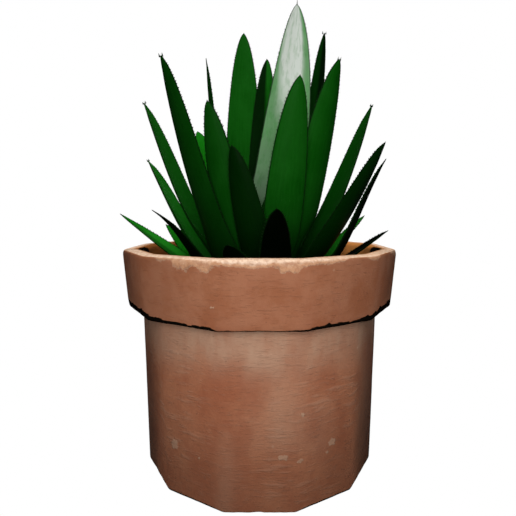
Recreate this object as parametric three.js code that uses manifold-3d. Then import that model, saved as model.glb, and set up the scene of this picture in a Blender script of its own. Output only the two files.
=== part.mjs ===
// Spiral aloe in a twelve-sided terracotta pot. Millimetres, +Z up.
// The origin is at the centre of the pot's foot, on the surface that the pot stands on.
import * as THREE from 'three';
import { mergeVertices } from 'three/addons/utils/BufferGeometryUtils.js';
import Module from 'manifold-3d';

const wasm = await Module();
wasm.setup();

// ---- driving dimensions -------------------------------------------------------------------

const CLEARANCE = 0.3;           // gap kept between pieces that touch

// Pot. Radii are to the arrises (the corners) of the twelve-sided section.
const POT_SIDES = 12;
const ARRIS_ANGLE = 3;           // degrees each side of a corner over which the arris is rounded
const ARRIS_CUT = 0.7;           // how far the rounding pulls the corner in
const POT_HEIGHT = 124.2;
const FOOT_RADIUS = 67;
const FOOT_CHAMFER = 0.6;
const NECK_RADIUS = 68.2;        // body just under the collar
const COLLAR_BOTTOM = 93;
const COLLAR_LOW_RADIUS = 76.3;
const COLLAR_TOP_RADIUS = 78.6;
const COLLAR_UNDERCUT = 1.6;     // height of the chamfer under the collar
const COLLAR_CHAMFER = 0.8;      // how far that chamfer runs in
const LIP_ROUND = 2;             // rounding of the mouth's edges
const MOUTH_RADIUS = 69.5;
const SHOULDER_HEIGHT = 89;      // inside, the wall starts to open towards the mouth here
const SHOULDER_RADIUS = 61;
const INNER_FOOT_RADIUS = 56;    // inside, at the floor
const FLOOR_THICKNESS = 10;
const DRAIN_RADIUS = 9;

// Soil
const SOIL_TOP = 98;             // level at the pot's wall
const SOIL_CENTRE = 96;          // level round the crown
const DRAIN_HOLLOW = 5;          // height of the hollow in the soil over the drain hole

// Crown: the short stem that carries the leaves, with a low cone for its top.
const CONE_APEX = 112;
const CONE_SLOPE = 0.45;         // drop of the cone per millimetre of radius
const CROWN_RADIUS = 30;
const CROWN_SHOULDER = 90;       // level where the root has widened to the crown
const ROOT_RADIUS = 14;
const ROOT_BOTTOM = 58;
const CROWN_SEGMENTS = 48;
const RING_RADIUS = [27, 21.5, 16, 10.5, 4.5];

// Leaves
const LEAF_STATIONS = 14;        // sections along a leaf
const LEAF_ROOT = 5;             // length inside the crown, which is trimmed away
const FOOT_WIDTH = 10.5;         // width of a leaf where it leaves the crown
const SPREAD_SPAN = 0.22;        // share of the length over which the foot widens to the blade
const TWIST_SPAN = 0.35;         // share of the length over which a leaf turns to its facing
const CHANNEL = 0.22;            // depth of the channel as a share of the half width
const FOOT_THICKNESS = 3.2;
const TIP_THICKNESS = 1.2;
const FRONT_FULLNESS = 0.5;      // the front face bulges this much of what the back does
const TAPER = 3.2;               // the pointed-arch outline is (1 - s^taper)^TIP_ROUNDNESS
const TIP_ROUNDNESS = 0.7;

// One row per leaf. ring: the ring of the crown that carries it, 1 outermost. turn: azimuth of
// its foot. face: azimuth that its back looks to. tip: where the point ends. width: the widest
// part. sweep, sag: how far the lower and upper thirds bow outward from a straight line. taper:
// high keeps a leaf broad near its tip, TAPER where a row has none.
const LEAVES = [
  { name: 'leaf_low_01', ring: 1, turn: 189, face: 183, tip: [-75.3, -24, 143.3], width: 20, sweep: -2, sag: 0.4, taper: 0.9 },
  { name: 'leaf_low_02', ring: 1, turn: 210, face: 212, tip: [-55.7, -34, 145.3], width: 24, sweep: 1, sag: -6.2, taper: 0.8 },
  { name: 'leaf_low_03', ring: 1, turn: 163, face: 150, tip: [-59.3, 15, 136.6], width: 11.5, sweep: 5.5, sag: 0.5 },
  { name: 'leaf_low_04', ring: 1, turn: 137, face: 130, tip: [-48, 50, 146], width: 16, sweep: 4, sag: 1 },
  { name: 'leaf_low_05', ring: 1, turn: 108, face: 108, tip: [-20, 70, 150], width: 17, sweep: 4, sag: 1 },
  { name: 'leaf_low_06', ring: 1, turn: 80, face: 80, tip: [15, 72, 148], width: 17, sweep: 4, sag: 1 },
  { name: 'leaf_low_07', ring: 1, turn: 52, face: 50, tip: [46, 56, 144], width: 16, sweep: 4, sag: 1 },
  { name: 'leaf_low_08', ring: 1, turn: 27, face: 30, tip: [68, 22, 142], width: 9, sweep: 2, sag: 0 },
  { name: 'leaf_low_09', ring: 1, turn: 3, face: 350, tip: [71.6, -18, 134], width: 9, sweep: 2, sag: 0 },
  { name: 'leaf_low_10', ring: 1, turn: 339, face: 322, tip: [64, -36, 171], width: 8, sweep: 14, sag: 0 },
  { name: 'leaf_low_11', ring: 1, turn: 290, face: 280, tip: [7.6, -62, 146], width: 18, sweep: 3, sag: 0 },
  { name: 'leaf_low_12', ring: 1, turn: 257, face: 246, tip: [-14.5, -55, 129], width: 20, sweep: 2, sag: 0 },
  { name: 'leaf_mid_01', ring: 2, turn: 168, face: 166, tip: [-74.8, 34, 179.4], width: 24.5, sweep: 12, sag: 1, taper: 3.6 },
  { name: 'leaf_mid_02', ring: 3, turn: 192, face: 165, tip: [-72.3, 19, 213], width: 25.5, sweep: 13.5, sag: 3 },
  { name: 'leaf_mid_03', ring: 2, turn: 229, face: 214, tip: [-51.4, -25, 226.2], width: 25.5, sweep: 6, sag: 3 },
  { name: 'leaf_mid_04', ring: 2, turn: 279, face: 248, tip: [-13.7, -42, 177], width: 18.5, sweep: 3, sag: 0 },
  { name: 'leaf_mid_05', ring: 2, turn: 340, face: 330, tip: [68, -20, 182], width: 27, sweep: 7, sag: 4 },
  { name: 'leaf_mid_06', ring: 2, turn: 12, face: 15, tip: [69.2, 15, 210.5], width: 28.6, sweep: 8, sag: 4, taper: 2.2 },
  { name: 'leaf_mid_07', ring: 2, turn: 38, face: 50, tip: [33, 57, 192], width: 19, sweep: 5, sag: 1 },
  { name: 'leaf_mid_08', ring: 2, turn: 80, face: 75, tip: [6, 68, 188], width: 22, sweep: 5, sag: 1 },
  { name: 'leaf_mid_09', ring: 2, turn: 112, face: 125, tip: [-42, 42, 198.6], width: 18, sweep: 4, sag: 1 },
  { name: 'leaf_mid_10', ring: 2, turn: 140, face: 176, tip: [-32, 12, 236], width: 17, sweep: 6, sag: 1 },
  { name: 'leaf_high_01', ring: 3, turn: 238, face: 248, tip: [-26.3, -35, 200], width: 20, sweep: 3, sag: 1 },
  { name: 'leaf_high_02', ring: 3, turn: 303, face: 282, tip: [19.6, -42, 210], width: 22.5, sweep: 3, sag: 0 },
  { name: 'leaf_high_03', ring: 3, turn: 356, face: 305, tip: [41.5, -26, 224], width: 24, sweep: 5, sag: 0 },
  { name: 'leaf_high_04', ring: 3, turn: 34, face: 38, tip: [42.5, 38, 262], width: 18, sweep: 12, sag: 6 },
  { name: 'leaf_high_05', ring: 3, turn: 134, face: 104, tip: [-11, 61, 269.6], width: 25, sweep: 2, sag: 0 },
  { name: 'leaf_high_06', ring: 5, turn: 0, face: 92, tip: [24.3, 35, 281], width: 32, sweep: 0, sag: 7.5, taper: 2.8 },
  { name: 'leaf_core_01', ring: 4, turn: 80, face: 65, tip: [5, 47, 247.5], width: 22, sweep: 2, sag: 0 },
  { name: 'leaf_core_02', ring: 4, turn: 206, face: 215, tip: [-13, -12, 165], width: 15, sweep: 2, sag: 0 },
  { name: 'leaf_core_03', ring: 4, turn: 320, face: 320, tip: [14, -16, 183], width: 15, sweep: 2, sag: 0 },
  { name: 'leaf_core_04', ring: 5, turn: 205, face: 250, tip: [8, -7, 160], width: 11, sweep: 1, sag: 0 },
  { name: 'leaf_core_05', ring: 4, turn: 142, face: 150, tip: [-20, 19, 187], width: 15, sweep: 5, sag: 0 },
];

const TERRACOTTA = { color: 0x9a6446, roughness: 0.85 };
const SOIL_BROWN = { color: 0x2b2019, roughness: 0.97 };
const CROWN_GREEN = { color: 0x5c6b3a, roughness: 0.8 };
const LEAF_GREEN = { color: 0x1f5a22, roughness: 0.45 };

// ---- shared helpers -----------------------------------------------------------------------

const radians = THREE.MathUtils.degToRad;
const mix = (from, to, share) => from + (to - from) * share;
const ramp = (value, end) => THREE.MathUtils.smoothstep(value, 0, end);

// A closed mesh from rings of points that are stacked one on the next, anticlockwise as seen
// from the last ring. With two end points the stack is capped, and with none it closes on itself.
// The diagonals of a ring's second half mirror those of its first, so the back and the front of a
// thin twisted leaf stay parallel.
function stackRings(rings, endPoints) {
  const size = rings[0].length;
  const points = rings.flat();
  const triangles = [];
  const steps = endPoints ? rings.length - 1 : rings.length;
  for (let k = 0; k < steps; k += 1) {
    const [low, high] = [k * size, ((k + 1) % rings.length) * size];
    for (let i = 0; i < size; i += 1) {
      const j = (i + 1) % size;
      if (i < size / 2) {
        triangles.push([low + i, low + j, high + j], [low + i, high + j, high + i]);
      } else {
        triangles.push([low + i, low + j, high + i], [low + j, high + j, high + i]);
      }
    }
  }
  if (endPoints) {
    const [first, last] = [points.length, points.length + 1];
    const top = (rings.length - 1) * size;
    points.push(...endPoints);
    for (let i = 0; i < size; i += 1) {
      const j = (i + 1) % size;
      triangles.push([first, j, i], [last, top + i, top + j]);
    }
  }
  const geometry = new THREE.BufferGeometry();
  geometry.setAttribute('position', new THREE.Float32BufferAttribute(points.flat(), 3));
  geometry.setIndex(triangles.flat());
  return geometry;
}

function toSolid(geometry) {
  const bare = geometry.clone();
  bare.deleteAttribute('normal');
  bare.deleteAttribute('uv');
  const merged = mergeVertices(bare, 1e-4);
  return new wasm.Manifold(new wasm.Mesh({
    numProp: 3,
    vertProperties: new Float32Array(merged.attributes.position.array),
    triVerts: new Uint32Array(merged.index.array),
  }));
}

function toGeometry(solid) {
  const mesh = solid.getMesh();
  const geometry = new THREE.BufferGeometry();
  geometry.setAttribute('position', new THREE.BufferAttribute(new Float32Array(mesh.vertProperties), 3));
  geometry.setIndex(new THREE.BufferAttribute(new Uint32Array(mesh.triVerts), 1));
  return geometry;
}

function namedMesh(name, geometry, material) {
  const mesh = new THREE.Mesh(geometry, new THREE.MeshStandardMaterial({ metalness: 0, ...material }));
  mesh.name = name;
  return mesh;
}

// ---- pot ----------------------------------------------------------------------------------

// Columns round the section, as [azimuth, cut]: each arris has one column at its middle, pulled
// in by the rounding, and one at each end of it.
function potColumns() {
  const side = 360 / POT_SIDES;
  const columns = [];
  for (let corner = side / 2; corner < 360; corner += side) {
    columns.push([corner - ARRIS_ANGLE, 0], [corner, ARRIS_CUT], [corner + ARRIS_ANGLE, 0]);
  }
  return columns;
}

// One level of a sided piece. Round 0 is the twelve-sided section with this corner radius, and
// round 1 is the circle that touches that section's flats.
function sidedRing([radius, height, round]) {
  const side = 360 / POT_SIDES;
  const circle = radius * Math.cos(radians(side / 2));
  return potColumns().map(([azimuth, cut]) => {
    const fromFlat = azimuth - side * Math.round(azimuth / side);
    const sided = circle / Math.cos(radians(fromFlat)) - cut;
    const r = mix(sided, circle, round);
    return [r * Math.cos(radians(azimuth)), r * Math.sin(radians(azimuth)), height];
  });
}

function makePot() {
  const neck = COLLAR_BOTTOM - COLLAR_UNDERCUT;
  const profile = [
    [DRAIN_RADIUS, 0, 1],
    [FOOT_RADIUS - FOOT_CHAMFER, 0, 0],
    [FOOT_RADIUS, FOOT_CHAMFER, 0],
    [NECK_RADIUS, neck, 0],
    [COLLAR_LOW_RADIUS - COLLAR_CHAMFER, neck, 0],
    [COLLAR_LOW_RADIUS, COLLAR_BOTTOM, 0],
    [COLLAR_TOP_RADIUS, POT_HEIGHT - LIP_ROUND, 0],
    [COLLAR_TOP_RADIUS - LIP_ROUND / 3, POT_HEIGHT - LIP_ROUND / 3, 0],
    [COLLAR_TOP_RADIUS - LIP_ROUND, POT_HEIGHT, 0],
    [MOUTH_RADIUS + LIP_ROUND, POT_HEIGHT, 0],
    [MOUTH_RADIUS, POT_HEIGHT - LIP_ROUND, 0],
    [SHOULDER_RADIUS, SHOULDER_HEIGHT, 0],
    [INNER_FOOT_RADIUS, FLOOR_THICKNESS, 0],
    [DRAIN_RADIUS, FLOOR_THICKNESS, 1],
  ];
  return stackRings(profile.map(sidedRing), null);
}

// Corner radius of the pot's inner wall at a height.
function innerWallRadius(height) {
  if (height < SHOULDER_HEIGHT) {
    const share = (height - FLOOR_THICKNESS) / (SHOULDER_HEIGHT - FLOOR_THICKNESS);
    return mix(INNER_FOOT_RADIUS, SHOULDER_RADIUS, share);
  }
  const share = (height - SHOULDER_HEIGHT) / (POT_HEIGHT - LIP_ROUND - SHOULDER_HEIGHT);
  return mix(SHOULDER_RADIUS, MOUTH_RADIUS, share);
}

// ---- crown --------------------------------------------------------------------------------

const coneHeight = (radius) => CONE_APEX - CONE_SLOPE * radius;

// The crown as a turned solid. It is grown on all sides where it is used as a cutter.
function makeCrown(grow) {
  const rise = grow * Math.hypot(1, CONE_SLOPE);
  const profile = [
    [0, ROOT_BOTTOM - grow],
    [ROOT_RADIUS / 2 + grow, ROOT_BOTTOM - grow],
    [ROOT_RADIUS + grow, ROOT_BOTTOM + ROOT_RADIUS / 2],
    [ROOT_RADIUS + grow, CROWN_SHOULDER - ROOT_RADIUS],
    [CROWN_RADIUS + grow, CROWN_SHOULDER - grow],
    [CROWN_RADIUS + grow, coneHeight(CROWN_RADIUS + grow) + rise],
    [0, CONE_APEX + rise],
  ];
  const turned = new THREE.LatheGeometry(profile.map(([r, z]) => new THREE.Vector2(r, z)), CROWN_SEGMENTS);
  return turned.rotateX(Math.PI / 2);
}

const crownCutter = toSolid(makeCrown(CLEARANCE));

// ---- soil ---------------------------------------------------------------------------------

// The soil fills the pot's inside up to SOIL_TOP, less the crown and the hollow over the drain.
function makeSoil() {
  const bottom = FLOOR_THICKNESS + CLEARANCE;
  const atWall = (height) => [innerWallRadius(height) - CLEARANCE, height, 0];
  const profile = [
    [DRAIN_RADIUS, bottom + DRAIN_HOLLOW, 1],
    [DRAIN_RADIUS + DRAIN_HOLLOW, bottom, 1],
    atWall(bottom),
    atWall(SHOULDER_HEIGHT),
    atWall(SOIL_TOP),
    [CROWN_RADIUS, SOIL_CENTRE, 1],
  ];
  const body = stackRings(profile.map(sidedRing), [[0, 0, bottom + DRAIN_HOLLOW], [0, 0, SOIL_CENTRE]]);
  return toGeometry(toSolid(body).subtract(crownCutter));
}

// ---- leaves -------------------------------------------------------------------------------

const fromAzimuth = (azimuth) => new THREE.Vector3(Math.cos(radians(azimuth)), Math.sin(radians(azimuth)), 0);

// The signed turn, in degrees, from one azimuth to another the short way round.
const shortTurn = (from, to) => THREE.MathUtils.euclideanModulo(to - from + 180, 360) - 180;

// The middle line of a leaf: a cubic curve from foot to tip, bowed outward at its two thirds.
function leafCurve(leaf) {
  const radius = RING_RADIUS[leaf.ring - 1];
  const foot = fromAzimuth(leaf.turn).multiplyScalar(radius).setZ(coneHeight(radius));
  const tip = new THREE.Vector3(...leaf.tip);
  const along = tip.clone().sub(foot);
  const outward = along.clone().setZ(0).projectOnPlane(along.clone().normalize()).normalize();
  const bowed = (share, bow) => foot.clone().addScaledVector(along, share).addScaledVector(outward, bow);
  return new THREE.CubicBezierCurve3(foot, bowed(1 / 3, leaf.sweep), bowed(2 / 3, leaf.sag), tip);
}

// Eight points round a leaf at share s of its length: the back from edge to edge, then the front.
function leafSection(leaf, curve, s) {
  const t = Math.max(s, 0);
  const tangent = curve.getTangent(t);
  const centre = curve.getPoint(t).addScaledVector(tangent, Math.min(s, 0) * curve.getLength());
  const azimuth = leaf.turn + shortTurn(leaf.turn, leaf.face) * ramp(t, TWIST_SPAN);
  const back = fromAzimuth(azimuth).projectOnPlane(tangent).normalize();
  const side = tangent.clone().cross(back);
  const outline = (1 - t ** (leaf.taper ?? TAPER)) ** TIP_ROUNDNESS;
  const half = mix(FOOT_WIDTH, leaf.width, Math.min(t / SPREAD_SPAN, 1)) * outline / 2;
  const thickness = mix(FOOT_THICKNESS, TIP_THICKNESS, t) * Math.min(outline * 2, 1);
  const point = (across, bulge) => {
    const depth = bulge * (1 - across ** 2) * thickness / 2 - CHANNEL * half * across ** 2;
    return centre.clone().addScaledVector(side, across * half).addScaledVector(back, depth).toArray();
  };
  const backFace = [-1, -0.5, 0, 0.5, 1].map((across) => point(across, 1));
  const frontFace = [0.5, 0, -0.5].map((across) => point(across, -FRONT_FULLNESS));
  return [...backFace, ...frontFace];
}

function makeLeaf(leaf) {
  const curve = leafCurve(leaf);
  const start = -LEAF_ROOT / curve.getLength();
  const shares = [start];
  for (let k = 0; k < LEAF_STATIONS; k += 1) {
    shares.push(1 - (1 - k / LEAF_STATIONS) ** 1.25);
  }
  const rings = shares.map((s) => leafSection(leaf, curve, s));
  const middle = (ring) => ring[2].map((value, axis) => (value + ring[6][axis]) / 2);
  const body = stackRings(rings, [middle(rings[0]), leaf.tip]);
  return toGeometry(toSolid(body).subtract(crownCutter));
}

// ---- the whole plant ----------------------------------------------------------------------

const aloe = new THREE.Group();
aloe.add(namedMesh('pot', makePot(), TERRACOTTA));
aloe.add(namedMesh('soil', makeSoil(), SOIL_BROWN));
aloe.add(namedMesh('crown', makeCrown(0), CROWN_GREEN));
for (const leaf of LEAVES) {
  aloe.add(namedMesh(leaf.name, makeLeaf(leaf), LEAF_GREEN));
}

export default aloe;
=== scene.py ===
"""A spiral aloe in a twelve-sided terracotta pot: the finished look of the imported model.

Lengths in the tables are millimetres and azimuths are degrees, anticlockwise seen from above,
with 270 at the front of the pot. MM turns them into metres where a mesh is made.
"""
import math
from collections import namedtuple

import bpy
import numpy as np
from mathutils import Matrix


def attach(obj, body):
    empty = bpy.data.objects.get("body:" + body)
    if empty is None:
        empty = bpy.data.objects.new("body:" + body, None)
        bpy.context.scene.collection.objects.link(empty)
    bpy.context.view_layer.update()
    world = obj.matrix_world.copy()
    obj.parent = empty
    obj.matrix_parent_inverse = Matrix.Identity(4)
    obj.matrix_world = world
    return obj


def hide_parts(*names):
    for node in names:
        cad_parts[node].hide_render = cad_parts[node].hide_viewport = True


MM = 0.001
FRONT = 270.0                    # azimuth of the side that the camera looks at

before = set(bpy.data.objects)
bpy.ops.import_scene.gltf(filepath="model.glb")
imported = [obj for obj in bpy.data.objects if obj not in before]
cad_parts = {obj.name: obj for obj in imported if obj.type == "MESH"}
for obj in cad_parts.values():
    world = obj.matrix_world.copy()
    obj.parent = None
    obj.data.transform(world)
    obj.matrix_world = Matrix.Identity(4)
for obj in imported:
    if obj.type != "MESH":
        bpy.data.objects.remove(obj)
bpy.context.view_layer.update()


# ---- camera, light and floor --------------------------------------------------------------

CAMERA_PLACE = (0.0, -0.257, 0.144)
CAMERA_PITCH = 83.9              # 90 would look level
CAMERA_LENS = 30.0
CAMERA_SHIFT = -0.0029
SENSOR_WIDTH = 36.0
NEAREST_SEEN = 0.01

# name, place, size and power of each soft box, and whether it shows as a reflection
SOFT_BOXES = [
    ("front", (0.0, -0.40, 0.21), 0.20, 1.36, True),
    ("key", (0.02, -0.45, 0.54), 0.12, 0.25, True),
    ("overhead", (-0.05, 0.10, 0.90), 0.5, 4.6, True),
    ("back", (0.0, 0.75, 0.50), 0.5, 3.4, False),
]
AIM = (0.0, 0.0, 0.14)
AMBIENT = 0.06                   # what the room's walls give back, as a share of plain white
FLOOR_RADIUS = 3.0
FLOOR_CORNERS = 96
FLOOR_ALBEDO = 0.12
WHITE = (1.0, 1.0, 1.0, 1.0)


def place_camera():
    """The camera stands close to the plant, a little above the pot's rim, and looks slightly down."""
    data = bpy.data.cameras.new("camera")
    data.lens = CAMERA_LENS
    data.sensor_width = SENSOR_WIDTH
    data.shift_x = CAMERA_SHIFT
    data.clip_start = NEAREST_SEEN
    camera = bpy.data.objects.new("camera", data)
    camera.location = CAMERA_PLACE
    camera.rotation_euler = (math.radians(CAMERA_PITCH), 0.0, 0.0)
    bpy.context.scene.collection.objects.link(camera)
    bpy.context.scene.camera = camera


def place_light(name, place, size, power, mirrored):
    """A square soft box that faces the middle of the plant."""
    data = bpy.data.lights.new(name, "AREA")
    data.size = size
    data.energy = power
    light = bpy.data.objects.new(name, data)
    light.location = place
    light.visible_glossy = mirrored
    bpy.context.scene.collection.objects.link(light)
    away = np.subtract(place, AIM)
    yaw = math.atan2(away[0], -away[1])
    tilt = math.atan2(math.hypot(away[0], away[1]), away[2])
    light.rotation_euler = (tilt, 0.0, yaw)


# ---- node trees ---------------------------------------------------------------------------

class Tree:
    """Short hand for one node tree: adds a node with its values and links in one call."""

    def __init__(self, tree):
        self.tree = tree
        tree.nodes.clear()

    def put(self, socket, value):
        if isinstance(value, bpy.types.NodeSocket):
            self.tree.links.new(value, socket)
        else:
            socket.default_value = value

    def add(self, kind, inputs=None, **settings):
        node = self.tree.nodes.new(kind)
        for name, value in settings.items():
            setattr(node, name, value)
        for name, value in (inputs or {}).items():
            self.put(node.inputs[name], value)
        return node

    def math(self, operation, first, second=0.0, clamp=False):
        node = self.add("ShaderNodeMath", operation=operation, use_clamp=clamp)
        self.put(node.inputs[0], first)
        self.put(node.inputs[1], second)
        return node.outputs[0]

    def plus(self, first, second):
        return self.math("ADD", first, second)

    def less(self, first, second):
        return self.math("SUBTRACT", first, second)

    def times(self, first, second, clamp=False):
        return self.math("MULTIPLY", first, second, clamp)

    def ramp(self, value, low, high, start=0.0, end=1.0):
        """Goes smoothly from start to end as the value goes from low to high."""
        sockets = {"Value": value, "From Min": low, "From Max": high, "To Min": start, "To Max": end}
        return self.add("ShaderNodeMapRange", sockets, interpolation_type="SMOOTHSTEP").outputs[0]

    def mix(self, share, first, second, blend="MIX"):
        """The first colour where share is 0 and the second where it is 1."""
        node = self.add("ShaderNodeMix", data_type="RGBA", blend_type=blend)
        self.put(node.inputs[0], share)
        self.put(node.inputs[6], first)
        self.put(node.inputs[7], second)
        return node.outputs[2]

    def noise(self, vector, scale, detail=3.0, roughness=0.55):
        sockets = {"Vector": vector, "Scale": scale, "Detail": detail, "Roughness": roughness}
        return self.add("ShaderNodeTexNoise", sockets).outputs[0]

    def attribute(self, name):
        return self.add("ShaderNodeAttribute", attribute_name=name).outputs["Fac"]

    def place(self):
        return self.add("ShaderNodeTexCoord").outputs["Object"]

    def use(self, name, **inputs):
        """Places a shared group, sets its inputs and returns its outputs."""
        node = self.add("ShaderNodeGroup", node_tree=bpy.data.node_groups[name])
        for socket, value in inputs.items():
            self.put(node.inputs[socket], value)
        return node.outputs


def new_group(name, inputs, outputs):
    """An empty shader node group with these sockets, as (tree, its inputs, its output node)."""
    group = bpy.data.node_groups.new(name, "ShaderNodeTree")
    tree = Tree(group)
    for socket, kind in inputs.items():
        group.interface.new_socket(socket, in_out="INPUT", socket_type=kind)
    for socket, kind in outputs.items():
        group.interface.new_socket(socket, in_out="OUTPUT", socket_type=kind)
    entry = tree.add("NodeGroupInput")
    leave = tree.add("NodeGroupOutput")
    return tree, entry.outputs, leave.inputs


FLOAT = "NodeSocketFloat"
VECTOR = "NodeSocketVector"
COLOUR = "NodeSocketColor"
SPECK_RAGGEDNESS = 0.0012        # how far noise moves a speck's outline, in metres


def make_grain_group():
    """Drawn-out noise: the place is stretched by Stretch, and the noise is cut at Low and High."""
    sockets = {"Place": VECTOR, "Stretch": VECTOR, "Scale": FLOAT, "Low": FLOAT, "High": FLOAT}
    tree, given, out = new_group("grain", sockets, {"Mask": FLOAT})
    drawn = tree.add("ShaderNodeVectorMath", operation="MULTIPLY")
    tree.put(drawn.inputs[0], given["Place"])
    tree.put(drawn.inputs[1], given["Stretch"])
    noise = tree.noise(drawn.outputs[0], given["Scale"], 4.0, 0.6)
    tree.put(out["Mask"], tree.ramp(noise, given["Low"], given["High"]))


def make_speck_group():
    """Round specks: cells of one size, each with a spot of Radius at its own random centre."""
    sockets = {"Place": VECTOR, "Scale": FLOAT, "Radius": FLOAT, "Share": FLOAT}
    tree, given, out = new_group("specks", sockets, {"Mask": FLOAT})
    ragged = tree.add("ShaderNodeTexNoise", {"Vector": given["Place"], "Scale": given["Scale"]})
    shifted = tree.add("ShaderNodeVectorMath", operation="MULTIPLY_ADD")
    tree.put(shifted.inputs[0], ragged.outputs["Color"])
    tree.put(shifted.inputs[1], (SPECK_RAGGEDNESS, SPECK_RAGGEDNESS, SPECK_RAGGEDNESS))
    tree.put(shifted.inputs[2], given["Place"])
    cells = tree.add("ShaderNodeTexVoronoi", {"Vector": shifted.outputs[0], "Scale": given["Scale"]})
    pick = tree.add("ShaderNodeSeparateColor", {"Color": cells.outputs["Color"]}).outputs[0]
    chosen = tree.math("LESS_THAN", pick, given["Share"])
    edge = tree.times(given["Radius"], 0.6)
    spot = tree.ramp(cells.outputs["Distance"], edge, given["Radius"], 1.0, 0.0)
    tree.put(out["Mask"], tree.times(spot, chosen))


def make_tone_group():
    """Uneven tone: two colours mixed by broad noise, then lightened and darkened by fine noise."""
    sockets = {"Place": VECTOR, "First": COLOUR, "Second": COLOUR, "Broad": FLOAT, "Fine": FLOAT}
    sockets["Depth"] = FLOAT
    tree, given, out = new_group("uneven_tone", sockets, {"Colour": COLOUR, "Fine": FLOAT})
    broad = tree.ramp(tree.noise(given["Place"], given["Broad"]), 0.35, 0.65)
    fine = tree.noise(given["Place"], given["Fine"], 5.0, 0.65)
    base = tree.mix(broad, given["First"], given["Second"])
    level = tree.plus(tree.times(tree.less(fine, 0.5), given["Depth"]), 1.0)
    shade = tree.add("ShaderNodeCombineColor", {"Red": level, "Green": level, "Blue": level})
    tree.put(out["Colour"], tree.mix(1.0, base, shade.outputs[0], "MULTIPLY"))
    tree.put(out["Fine"], fine)


def new_material(name):
    """A material with one Principled shader, as (material, tree, shader)."""
    material = bpy.data.materials.new(name)
    material.use_nodes = True
    tree = Tree(material.node_tree)
    shader = tree.add("ShaderNodeBsdfPrincipled")
    tree.add("ShaderNodeOutputMaterial", {"Surface": shader.outputs[0]})
    return material, tree, shader


def bump(tree, height, strength, distance):
    sockets = {"Height": height, "Strength": strength, "Distance": distance}
    return tree.add("ShaderNodeBump", sockets).outputs[0]


# ---- materials ----------------------------------------------------------------------------

# Colours of the clay, of what time has put on it or worn off it, and of painted light and shade
CLAY_RED = (0.300, 0.098, 0.046, 1.0)
CLAY_ORANGE = (0.375, 0.145, 0.073, 1.0)
COLLAR_RED = (0.252, 0.082, 0.033, 1.0)
COLLAR_ORANGE = (0.310, 0.122, 0.062, 1.0)
MOTTLE_RED = (0.285, 0.086, 0.040, 1.0)
# Lime bloom, which also paints light on the body's top under the collar
LIME_AND_TOP_LIGHT = (0.420, 0.250, 0.163, 1.0)
WHEEL_LINE = (0.50, 0.31, 0.215, 1.0)
RIDGE_PALE = (0.44, 0.265, 0.18, 1.0)
CUT_DARK = (0.17, 0.055, 0.028, 1.0)
FLAKE_PALE = (0.49, 0.315, 0.21, 1.0)
# The rim's warm clay in two copies for painted light: a shaded one and a lit one
RIM_WARM_SHADED = (0.42, 0.135, 0.030, 1.0)
RIM_WARM_LIT = (0.84, 0.32, 0.080, 1.0)
RIM_BLOTCH = (0.26, 0.088, 0.036, 1.0)
RUBBED_CLAY = (0.540, 0.290, 0.160, 1.0)
BARE_CLAY = (0.840, 0.640, 0.480, 1.0)
CRUMBLED_EDGE = (0.52, 0.33, 0.22, 1.0)
PIT_DARK = (0.12, 0.045, 0.025, 1.0)
# Painted shade
SHADE_DARK = (0.085, 0.034, 0.017, 1.0)
# Black painted shadow, for under the collar, along the foot's edge and in the mouth's corners
SHADOW_BLACK = (0.004, 0.003, 0.002, 1.0)
COLLAR_START = (0.0898, 0.0915)  # the collar's clay takes over between these levels, in metres


def clean_clay(tree, place, collar):
    """Red and orange clay in broad patches, more even on the collar, and mottled with red. Returns
    its colour, its blotches and its fine grain."""
    clay = tree.use("uneven_tone", Place=place, First=CLAY_RED, Second=CLAY_ORANGE, Broad=34.0,
                    Fine=800.0, Depth=0.5)
    blotch = tree.ramp(tree.noise(place, 70.0, 5.0, 0.65), 0.36, 0.62)
    collar_clay = tree.mix(blotch, COLLAR_RED, COLLAR_ORANGE)
    colour = tree.mix(tree.times(collar, 0.75), clay["Colour"], collar_clay)
    mottle = tree.use("grain", Place=place, Stretch=(1.0, 1.0, 0.55), Scale=130.0, Low=0.42, High=0.66)
    mottle = tree.times(mottle[0], tree.ramp(collar, 0.0, 1.0, 0.48, 0.14))
    return tree.mix(mottle, colour, MOTTLE_RED), blotch, clay["Fine"]


def add_bloom_and_top_light(tree, place, colour):
    """Lime drawn out of the clay by water, and painted light on the body's top: the mask, thinned by
    upright patches.
    """
    patches = tree.use("grain", Place=place, Stretch=(1.0, 1.0, 0.4), Scale=55.0, Low=0.3, High=0.75)
    bloom = tree.times(tree.attribute("bloom"), tree.plus(patches[0], 0.45), True)
    return tree.mix(bloom, colour, LIME_AND_TOP_LIGHT)


def add_wheel_marks(tree, place, colour, collar):
    """What throwing left, all of it fainter on the collar: fine pale lines, low ridges and dark
    cuts. Returns the colour and their relief."""
    line = tree.use("grain", Place=place, Stretch=(0.16, 0.16, 1.3), Scale=1200.0, Low=0.56, High=0.72)
    colour = tree.mix(tree.times(line[0], tree.ramp(collar, 0.0, 1.0, 0.17, 0.03)), colour, WHEEL_LINE)
    ridge = tree.use("grain", Place=place, Stretch=(0.3, 0.3, 1.5), Scale=260.0, Low=0.50, High=0.66)
    ridge = tree.times(ridge[0], tree.ramp(tree.noise(place, 38.0), 0.42, 0.62, 0.04, 0.24))
    ridge = tree.times(ridge, tree.ramp(collar, 0.0, 1.0, 1.0, 0.12))
    colour = tree.mix(ridge, colour, RIDGE_PALE)
    cut = tree.use("grain", Place=place, Stretch=(0.2, 0.2, 1.2), Scale=900.0, Low=0.44, High=0.30)
    cut = tree.times(cut[0], tree.ramp(collar, 0.0, 1.0, 0.13, 0.03))
    colour = tree.mix(cut, colour, CUT_DARK)
    relief = tree.plus(tree.times(line[0], 0.5), tree.times(ridge, 2.6))
    return colour, tree.less(relief, tree.times(cut, 1.6))


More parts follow.
